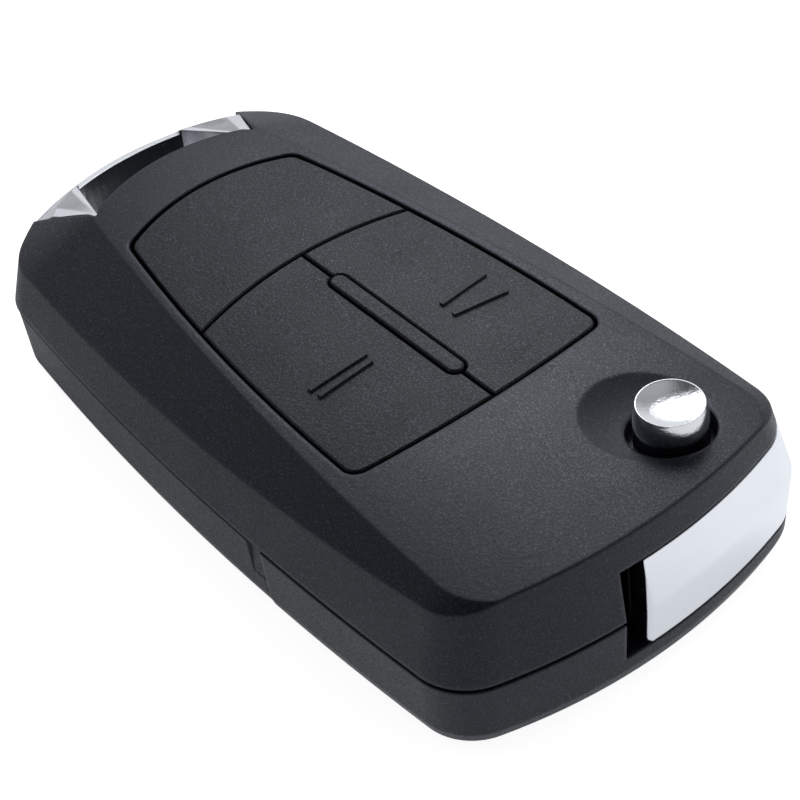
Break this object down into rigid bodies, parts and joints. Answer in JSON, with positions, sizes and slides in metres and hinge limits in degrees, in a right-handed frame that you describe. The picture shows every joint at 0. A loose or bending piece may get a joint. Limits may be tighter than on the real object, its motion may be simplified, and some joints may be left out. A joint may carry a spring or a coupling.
{
  "type": "folding remote key fob",
  "caption": "Folding remote key fob, closed: dark plastic case, domed lock and unlock keys, bright release button, chrome blade head and key ring loop.",
  "frame": {"origin": "middle of the footprint on the back face that the fob rests on", "axes": "+X along the fob to the blade head, +Y to the side where the blade is folded, +Z out of the keypad"},
  "size_m": [0.0698, 0.0371, 0.0173],
  "materials": {
    "case_plastic": "fine grained black moulded plastic",
    "cover_plastic": "fine grained black moulded plastic",
    "loop_metal": "bright plated die casting",
    "pad_plastic": "smooth satin black plastic",
    "key_plastic": "smooth satin black plastic",
    "button_metal": "polished plated metal",
    "core_plastic": "black moulded plastic",
    "head_metal": "polished plated metal",
    "carrier_plastic": "black moulded plastic",
    "blade_steel": "milled nickel plated steel",
    "pin_steel": "ground steel",
    "spring_steel": "drawn spring wire",
    "tray_plastic": "black moulded plastic",
    "screw_steel": "zinc plated steel",
    "board_green": "green solder mask",
    "switch_metal": "stamped tin plated metal",
    "plunger_plastic": "white moulded plastic",
    "chip_black": "black moulding compound",
    "can_metal": "drawn metal can",
    "coil_copper": "enamelled winding",
    "cell_steel": "nickel plated steel",
    "contact_metal": "spring bronze"
  },
  "bodies": {
    "case": {"upper_case": "case_plastic", "lower_case": "case_plastic", "keyring_loop": "loop_metal", "keypad_panel": "pad_plastic", "inner_tray": "tray_plastic", "case_screw": "screw_steel", "circuit_board": "board_green", "lock_switch": "switch_metal", "unlock_switch": "switch_metal", "control_chip": "chip_black", "radio_chip": "chip_black", "crystal": "can_metal", "antenna_coil": "coil_copper", "coin_cell": "cell_steel", "positive_contact": "contact_metal", "negative_contact": "contact_metal"},
    "blade": {"blade_carrier": "carrier_plastic", "head_cover": "head_metal", "key_blade": "blade_steel", "blade_pin": "pin_steel", "flip_spring": "spring_steel"},
    "release": {"release_button": "button_metal", "button_core": "core_plastic"},
    "lock_key": {"lock_button": "key_plastic", "lock_plunger": "plunger_plastic"},
    "unlock_key": {"unlock_button": "key_plastic", "unlock_plunger": "plunger_plastic"},
    "cover": {"battery_cover": "cover_plastic"}
  },
  "joints": [
    {"name": "blade_flip", "type": "hinge", "parent": "case", "child": "blade", "pos_m": [0.0275, 0.008, 0.0078], "axis": [0, 0, -1], "range_deg": [0, 180]},
    {"name": "release_press", "type": "slide", "parent": "blade", "child": "release", "axis": [0, 0, -1], "range_m": [0, 0.0018], "stiffness_N_per_m": 1200, "springref_m": -0.001, "deforming": ["flip_spring"]},
    {"name": "lock_press", "type": "slide", "parent": "case", "child": "lock_key", "axis": [0, 0, -1], "range_m": [0, 0.00045], "stiffness_N_per_m": 3500, "springref_m": -0.0003},
    {"name": "unlock_press", "type": "slide", "parent": "case", "child": "unlock_key", "axis": [0, 0, -1], "range_m": [0, 0.00045], "stiffness_N_per_m": 3500, "springref_m": -0.0003},
    {"name": "cover_lift", "type": "slide", "parent": "case", "child": "cover", "axis": [0, 0, -1], "range_m": [0, 0.012]}
  ]
}
